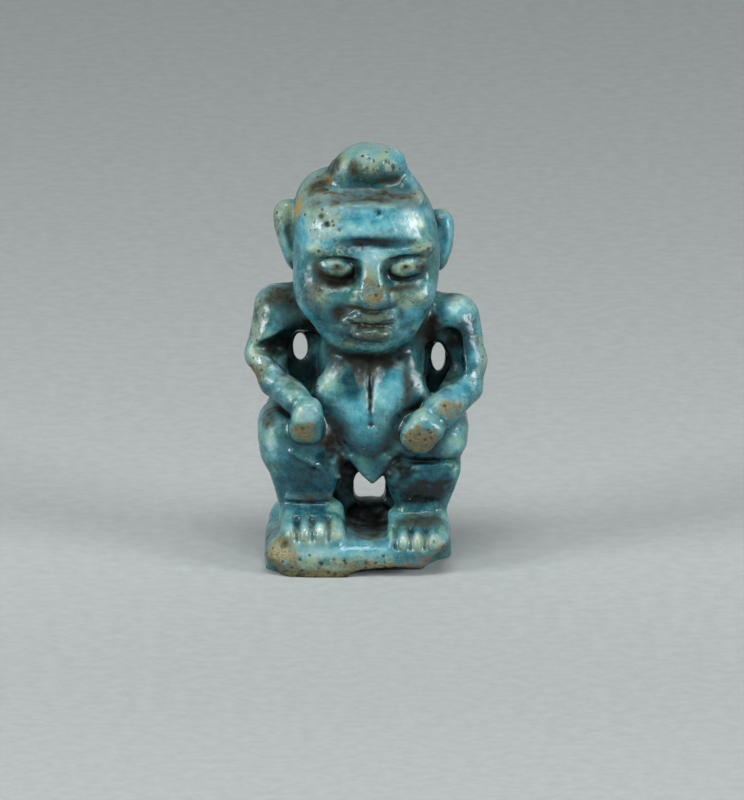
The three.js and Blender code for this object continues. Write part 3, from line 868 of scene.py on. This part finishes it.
def make_piece(name, corners, quads, marks):
    """The figure's mesh in metres, with its box over the middle of the solid's."""
    middle = (corners.min(axis=0) + corners.max(axis=0)) / 2
    target = (NODE_LOW + NODE_HIGH) / 2
    places = (corners - middle) * UNIT + np.array(target)
    places[:, 2] = corners[:, 2] * UNIT + NODE_LOW.z
    mesh = bpy.data.meshes.new(name)
    mesh.from_pydata(places, [], quads)
    mesh.shade_smooth()
    for mark, values in marks.items():
        mesh.attributes.new(mark, "FLOAT", "POINT").data.foreach_set("value", values.astype(np.float32))
    piece = bpy.data.objects.new(name, mesh)
    bpy.context.scene.collection.objects.link(piece)
    return piece


class NodeSheet:
    """Short ways to add and join the nodes of a material or a node group."""

    def __init__(self, tree):
        self.tree = tree

    def add(self, kind, inputs=None, **settings):
        node = self.tree.nodes.new(kind)
        for name, value in settings.items():
            setattr(node, name, value)
        for key, value in (inputs or {}).items():
            self.feed(node.inputs[key], value)
        return node

    def feed(self, socket, value):
        if isinstance(value, bpy.types.NodeSocket):
            self.tree.links.new(value, socket)
        else:
            socket.default_value = value

    def math(self, operation, *values):
        return self.add("ShaderNodeMath", dict(enumerate(values)), operation=operation).outputs[0]

    def mix(self, share, first, second, blend="MIX"):
        node = self.add("ShaderNodeMix", data_type="RGBA", blend_type=blend)
        self.feed(node.inputs["Factor"], share)
        self.feed(node.inputs[6], first)
        self.feed(node.inputs[7], second)
        return node.outputs[2]

    def spread(self, value, low, high, to_low=0.0, to_high=1.0):
        inputs = {"Value": value, "From Min": low, "From Max": high, "To Min": to_low, "To Max": to_high}
        node = self.add("ShaderNodeMapRange", inputs, interpolation_type="SMOOTHSTEP")
        return node.outputs[0]

    def ramp(self, value, stops):
        node = self.add("ShaderNodeValToRGB", {"Fac": value})
        elements = node.color_ramp.elements
        for index, (at, colour) in enumerate(stops):
            element = elements[index] if index < len(elements) else elements.new(at)
            element.position = at
            element.color = colour
        return node.outputs["Color"]

    def mark(self, name):
        return self.add("ShaderNodeAttribute", attribute_name=name).outputs["Fac"]

    def noise(self, place, scale, detail=3.0, roughness=0.55):
        inputs = {"Vector": place, "Scale": scale, "Detail": detail, "Roughness": roughness}
        return self.add("ShaderNodeTexNoise", inputs).outputs["Fac"]


def new_material(name):
    material = bpy.data.materials.new(name)
    material.use_nodes = True
    material.node_tree.nodes.clear()
    return material, NodeSheet(material.node_tree)


def millimetres(sheet):
    """The place on the object in millimetres of the figure."""
    place = sheet.add("ShaderNodeTexCoord").outputs["Object"]
    scale = 1 / UNIT
    return sheet.add("ShaderNodeMapping", {"Vector": place, "Scale": (scale, scale, scale)}).outputs[0]


def faience(colours):
    """Blue glaze over a brown body: painted shade darkens the hollows and painted light brightens upward faces; thin
    and speckled on the ridges, worn off in places.
    """
    material, sheet = new_material("faience glaze")
    place = millimetres(sheet)
    cloud = sheet.noise(place, 0.3, 3)
    mottle = sheet.noise(place, 1.1, 5, 0.7)
    speck = sheet.noise(place, 4.0, 4, 0.75)
    grain = sheet.noise(place, 8.0, 3, 0.7)
    pits = sheet.add("ShaderNodeTexVoronoi", {"Vector": place, "Scale": 1.6}).outputs["Distance"]
    bare, stain_and_painted_shade, crevice = sheet.mark("bare"), sheet.mark("stain_and_painted_shade"), sheet.mark("crevice")

    # The level carries the painted light and shade of the tone, with noise; it picks the glaze colour and lightens
    # the bare body.
    level = sheet.math("MULTIPLY_ADD", cloud, 0.5, sheet.mark("tone_with_painted_light"))
    level = sheet.math("MULTIPLY_ADD", mottle, 0.7, level)
    level = sheet.math("MULTIPLY_ADD", speck, 0.3, level)
    level = sheet.math("SUBTRACT", level, 0.75)
    stops = ((0.0, "dark"), (0.25, "deep"), (0.45, "turquoise"), (0.65, "sky"), (0.88, "pale"), (1.0, "white"))
    glaze = sheet.ramp(level, [(at, colours[name]) for at, name in stops])
    glaze = sheet.mix(sheet.mark("blue"), glaze, sheet.mix(1.0, glaze, colours["blue"], "MULTIPLY"))
    green = sheet.spread(sheet.noise(place, 0.55, 3), 0.45, 0.62)
    green = sheet.math("MULTIPLY", green, sheet.spread(sheet.mark("blue"), 0.0, 0.7, 0.6, 0.0))
    glaze = sheet.mix(green, glaze, sheet.mix(1.0, glaze, colours["green"], "MULTIPLY"))

    patchy = sheet.spread(sheet.math("MULTIPLY_ADD", speck, 0.6, mottle), 0.72, 0.92)
    everywhere = sheet.spread(sheet.noise(place, 0.7, 4, 0.6), 0.5, 0.66, 0.0, 0.55)
    everywhere = sheet.math("MULTIPLY", everywhere, sheet.spread(level, 0.2, 0.5))
    thin = sheet.math("MAXIMUM", sheet.mark("thin"), sheet.math("MULTIPLY", sheet.mark("ridge"), 0.6))
    thin = sheet.math("MULTIPLY", sheet.math("MAXIMUM", thin, everywhere), patchy)
    worn = sheet.spread(sheet.math("MAXIMUM", thin, bare), 0.1, 0.4)
    dots = sheet.math("MULTIPLY", sheet.spread(pits, 0.26, 0.13), worn)
    bubbles = sheet.add("ShaderNodeTexVoronoi", {"Vector": place, "Scale": 1.2})
    few = sheet.spread(sheet.add("ShaderNodeSeparateColor", {0: bubbles.outputs["Color"]}).outputs[0], 0.62, 0.64)
    dots = sheet.math("MAXIMUM", dots, sheet.math("MULTIPLY", sheet.spread(bubbles.outputs["Distance"], 0.11, 0.06), few))
    flecks = sheet.math("MULTIPLY_ADD", speck, 0.8, level)
    olive = sheet.mix(sheet.spread(flecks, 0.6, 1.0), colours["olive_dark"], colours["olive"])
    tint = sheet.math("MULTIPLY", sheet.mark("olive"), sheet.spread(mottle, 0.3, 0.6, 0.25, 0.75))
    colour = sheet.mix(sheet.math("MAXIMUM", tint, sheet.math("MULTIPLY", thin, 0.75)), glaze, olive)
    colour = sheet.mix(sheet.mark("ochre"), colour, colours["ochre"])
    # The stain patches lay a brown-grey film: dirt in places, painted shade in others.
    film = sheet.mix(sheet.spread(speck, 0.42, 0.68), colours["stain_and_painted_shade"], colours["grime"])
    smear_and_painted_shade = sheet.math("MULTIPLY", stain_and_painted_shade, sheet.spread(mottle, 0.3, 0.6, 0.55, 0.95))
    colour = sheet.mix(smear_and_painted_shade, colour, film)
    # Painted shade: the crevice mark lays a dark grime colour in the hollows, where shade falls.
    dust_and_painted_shade = sheet.mix(sheet.spread(speck, 0.5, 0.72, 0.0, 0.4), colours["grime"], colours["stain_and_painted_shade"])
    dirt_and_painted_shade = sheet.math("MULTIPLY", crevice, sheet.spread(mottle, 0.3, 0.6, 0.8, 1.0))
    colour = sheet.mix(dirt_and_painted_shade, colour, dust_and_painted_shade)
    rust = sheet.math("MULTIPLY", sheet.mark("rust"), sheet.spread(mottle, 0.35, 0.6, 0.6, 1.0))
    colour = sheet.mix(rust, colour, colours["rust"])
    crumb = sheet.math("MULTIPLY_ADD", speck, 0.8, sheet.math("MULTIPLY", grain, 0.5))
    body = sheet.mix(sheet.spread(level, 0.5, 1.0), colours["body"], colours["body_pale"])
    body = sheet.mix(sheet.spread(crumb, 0.55, 0.85, 0.0, 0.75), body, colours["body_dark"])
    cover = sheet.math("MULTIPLY", bare, sheet.spread(mottle, 0.38, 0.5, 0.15, 1.0))
    colour = sheet.mix(cover, colour, body)
    colour = sheet.mix(dots, colour, colours["body_dark"])

    matt = sheet.math("MULTIPLY", sheet.math("MAXIMUM", thin, smear_and_painted_shade), 0.6)
    matt = sheet.math("MAXIMUM", matt, sheet.math("MULTIPLY", dirt_and_painted_shade, 0.5))
    gloss = sheet.spread(mottle, 0.35, 0.65, 0.2, 0.36)
    rough = sheet.math("MULTIPLY_ADD", matt, 0.4, gloss)
    rough = sheet.math("MAXIMUM", rough, sheet.spread(cover, 0.0, 1.0, 0.07, 0.85))
    height = sheet.math("MULTIPLY_ADD", sheet.noise(place, 4.5, 1), 0.22, sheet.noise(place, 1.3, 1))
    height = sheet.math("MULTIPLY_ADD", sheet.math("MULTIPLY", speck, thin), 0.5, height)
    height = sheet.math("MULTIPLY_ADD", dots, -1.0, height)
    height = sheet.math("MULTIPLY_ADD", sheet.math("MULTIPLY", grain, cover), 1.0, height)
    bump = sheet.add("ShaderNodeBump", {"Strength": 0.7, "Distance": 0.1 * UNIT, "Height": height})
    sheen = sheet.spread(sheet.math("MAXIMUM", dirt_and_painted_shade, smear_and_painted_shade), 0.0, 1.0, 0.5, 0.06)
    inputs = {"Base Color": colour, "Roughness": rough, "Specular IOR Level": sheen, "Normal": bump.outputs[0]}
    shader = sheet.add("ShaderNodeBsdfPrincipled", inputs)
    sheet.add("ShaderNodeOutputMaterial", {"Surface": shader.outputs[0]})
    return material


def pale_paper(colour):
    """The matt card of the floor, with a faint grain, and a little darker towards the front."""
    material, sheet = new_material("pale card")
    place = millimetres(sheet)
    grain = sheet.noise(place, 0.9, 6, 0.7)
    tone_with_painted_light = sheet.spread(grain, 0.3, 0.7, 0.92, 1.04)
    away = sheet.add("ShaderNodeSeparateXYZ", {0: place}).outputs["Y"]
    # Painted shade: the card darkens towards the front.
    tone_with_painted_light = sheet.math("MULTIPLY", tone_with_painted_light, sheet.spread(away, -40, 15, 0.84, 1.0))
    shade = sheet.mix(1.0, colour, tone_with_painted_light, "MULTIPLY")
    inputs = {"Base Color": shade, "Roughness": 0.9}
    shader = sheet.add("ShaderNodeBsdfPrincipled", inputs)
    sheet.add("ShaderNodeOutputMaterial", {"Surface": shader.outputs[0]})
    return material


def linear(red, green, blue):
    """A colour as paint charts give it, 0 to 255, in the values that a shader takes."""
    values = [value / 255 for value in (red, green, blue)]
    return tuple(v / 12.92 if v <= 0.04045 else ((v + 0.055) / 1.055) ** 2.4 for v in values)


def colour_property(name, description, red, green, blue):
    return FloatVectorProperty(
        name=name, description=description, subtype="COLOR", default=linear(red, green, blue), min=0, max=1
    )


class FigureSettings(bpy.types.PropertyGroup):
    cell: FloatProperty(
        name="Cell", description="Size of the cells that the figure is shaped in, in millimetres",
        default=CELL, min=0.08, max=0.5,
    )
    # The glaze ramp from dark to white follows the tone: its dark and deep ends serve as painted shade and its pale
    # and white ends as painted highlights, besides glaze colour.
    dark: colour_property("Dark", "The glaze in the shade of an overhang", 6, 18, 21)
    deep: colour_property("Deep", "The glaze where it lies thick", 22, 68, 78)
    turquoise: colour_property("Turquoise", "The plain glaze", 48, 96, 102)
    sky: colour_property("Sky blue", "The glaze where it is bluest", 80, 130, 140)
    pale: colour_property("Pale", "The glaze where it is milky", 126, 158, 160)
    white: colour_property("White", "The whitest spots of the glaze", 172, 192, 186)
    green: colour_property("Green tinge", "What the greener glaze is multiplied by", 245, 250, 205)
    olive: colour_property("Olive", "Thin glaze over the brown body", 118, 130, 100)
    olive_dark: colour_property("Dark olive", "The darker flecks of thin glaze", 66, 78, 60)
    ochre: colour_property("Ochre", "The two orange spots", 132, 116, 70)
    blue: colour_property("Blue tinge", "What the bluest glaze is multiplied by", 190, 246, 255)
    # The stain and grime colours are dirt colours that also serve as painted shade in the hollows and creases.
    stain_and_painted_shade: colour_property("Stain", "The brown-grey film of dirt", 54, 50, 38)
    grime: colour_property("Grime", "Dirt in the hollows", 15, 16, 12)
    rust: colour_property("Rust", "The reddish edges", 104, 58, 46)
    body: colour_property("Body", "The bare grainy body", 93, 91, 63)
    body_pale: colour_property("Pale body", "The bare body where it is clean", 138, 134, 101)
    body_dark: colour_property("Body pits", "The dark grains and pits of the body", 55, 50, 34)


class StageSettings(bpy.types.PropertyGroup):
    floor: colour_property("Floor", "The pale card that the amulet stands on", 176, 182, 182)
    key: FloatProperty(name="Side lights", description="Power of each side light", default=1.1, min=0, unit="POWER")
    top: FloatProperty(name="Top light", description="Power of the light overhead", default=0.7, min=0, unit="POWER")


class AMULET_OT_figure(bpy.types.Operator):
    """Shape the figure, glaze it and set it in place of the plain solid"""

    bl_idname = "amulet.figure"
    bl_label = "Glazed figure"

    def execute(self, context):
        settings = context.scene.amulet_figure
        piece = make_piece("glazed_figure", *glazed_figure(settings.cell))
        names = [name for name in settings.__annotations__ if name != "cell"]
        colours = {name: (*getattr(settings, name), 1) for name in names}
        piece.data.materials.append(faience(colours))
        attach(piece, "root")
        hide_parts(NODE)
        return {"FINISHED"}


def aim(thing, target):
    """Turns a light or the camera, which look along their own -Z, towards a point."""
    thing.rotation_euler = (Vector(target) - thing.location).to_track_quat("-Z", "Y").to_euler()


def soft_light(name, at, target, size, power, colour=(1, 1, 1)):
    light = bpy.data.lights.new(name, "AREA")
    light.shape = "RECTANGLE"
    light.size, light.size_y = size
    light.energy = power
    light.color = colour
    lamp = bpy.data.objects.new(name, light)
    lamp.location = at
    bpy.context.scene.collection.objects.link(lamp)
    aim(lamp, target)
    return lamp


# The camera, in metres from the middle of the figure's foot, and the view that it takes in
VIEW_ELEVATION = 15
VIEW_DISTANCE = 1.5
VIEW_HEIGHT = 55.8
VIEW_AIM = (0.425, 0.405, 11.3)
SENSOR = 36


class AMULET_OT_stage(bpy.types.Operator):
    """Lay the floor, hang the soft lights and set up the camera"""

    bl_idname = "amulet.stage"
    bl_label = "Stage"

    def execute(self, context):
        settings = context.scene.amulet_stage
        target = Vector(VIEW_AIM) * UNIT
        half = 0.9
        mesh = bpy.data.meshes.new("floor")
        corners = [(-half, -half, 0), (half, -half, 0), (half, half, 0), (-half, half, 0)]
        mesh.from_pydata([(x, y, NODE_LOW.z) for x, y, _ in corners], [], [(0, 1, 2, 3)])
        floor = bpy.data.objects.new("floor", mesh)
        context.scene.collection.objects.link(floor)
        mesh.materials.append(pale_paper((*settings.floor, 1)))

        soft_light("left light", (-0.28, -0.16, 0.1), target, (0.14, 0.14), settings.key)
        soft_light("right light", (0.28, -0.17, 0.09), target, (0.14, 0.14), settings.key)
        soft_light("top light", (0.0, -0.14, 0.32), target, (0.2, 0.12), settings.top)

        camera = bpy.data.objects.new("camera", bpy.data.cameras.new("camera"))
        angle = math.radians(VIEW_ELEVATION)
        back = Vector((0, -math.cos(angle), math.sin(angle)))
        camera.location = target + back * VIEW_DISTANCE
        camera.data.sensor_width = SENSOR
        camera.data.lens = SENSOR * VIEW_DISTANCE / (VIEW_HEIGHT * UNIT)
        aim(camera, target)
        context.scene.collection.objects.link(camera)
        context.scene.camera = camera

        world = bpy.data.worlds.new("studio")
        world.use_nodes = True
        background = world.node_tree.nodes["Background"]
        background.inputs["Color"].default_value = (0.75, 0.79, 0.8, 1)
        sheet = NodeSheet(world.node_tree)
        way = sheet.add("ShaderNodeSeparateXYZ", {0: sheet.add("ShaderNodeTexCoord").outputs["Generated"]})
        sheet.feed(background.inputs["Strength"], sheet.spread(way.outputs["Y"], 0.0, 0.8, 0.08, 0.45))
        context.scene.world = world
        context.scene.view_settings.view_transform = "Standard"
        return {"FINISHED"}


class AMULET_PT_panel(bpy.types.Panel):
    """The amulet's pieces and its stage"""

    bl_idname = "AMULET_PT_panel"
    bl_label = "Faience amulet"
    bl_space_type = "VIEW_3D"
    bl_region_type = "UI"
    bl_category = "Amulet"

    def draw(self, context):
        for settings in (context.scene.amulet_figure, context.scene.amulet_stage):
            for name in settings.__annotations__:
                self.layout.prop(settings, name)
        for operator in (AMULET_OT_figure, AMULET_OT_stage):
            self.layout.operator(operator.bl_idname)


CLASSES = (FigureSettings, StageSettings, AMULET_OT_figure, AMULET_OT_stage, AMULET_PT_panel)


def register():
    for cls in CLASSES:
        bpy.utils.register_class(cls)
    bpy.types.Scene.amulet_figure = PointerProperty(type=FigureSettings)
    bpy.types.Scene.amulet_stage = PointerProperty(type=StageSettings)


def unregister():
    del bpy.types.Scene.amulet_stage
    del bpy.types.Scene.amulet_figure
    for cls in reversed(CLASSES):
        bpy.utils.unregister_class(cls)


def main():
    register()
    bpy.ops.amulet.figure()
    bpy.ops.amulet.stage()


if __name__ == "__main__":
    main()
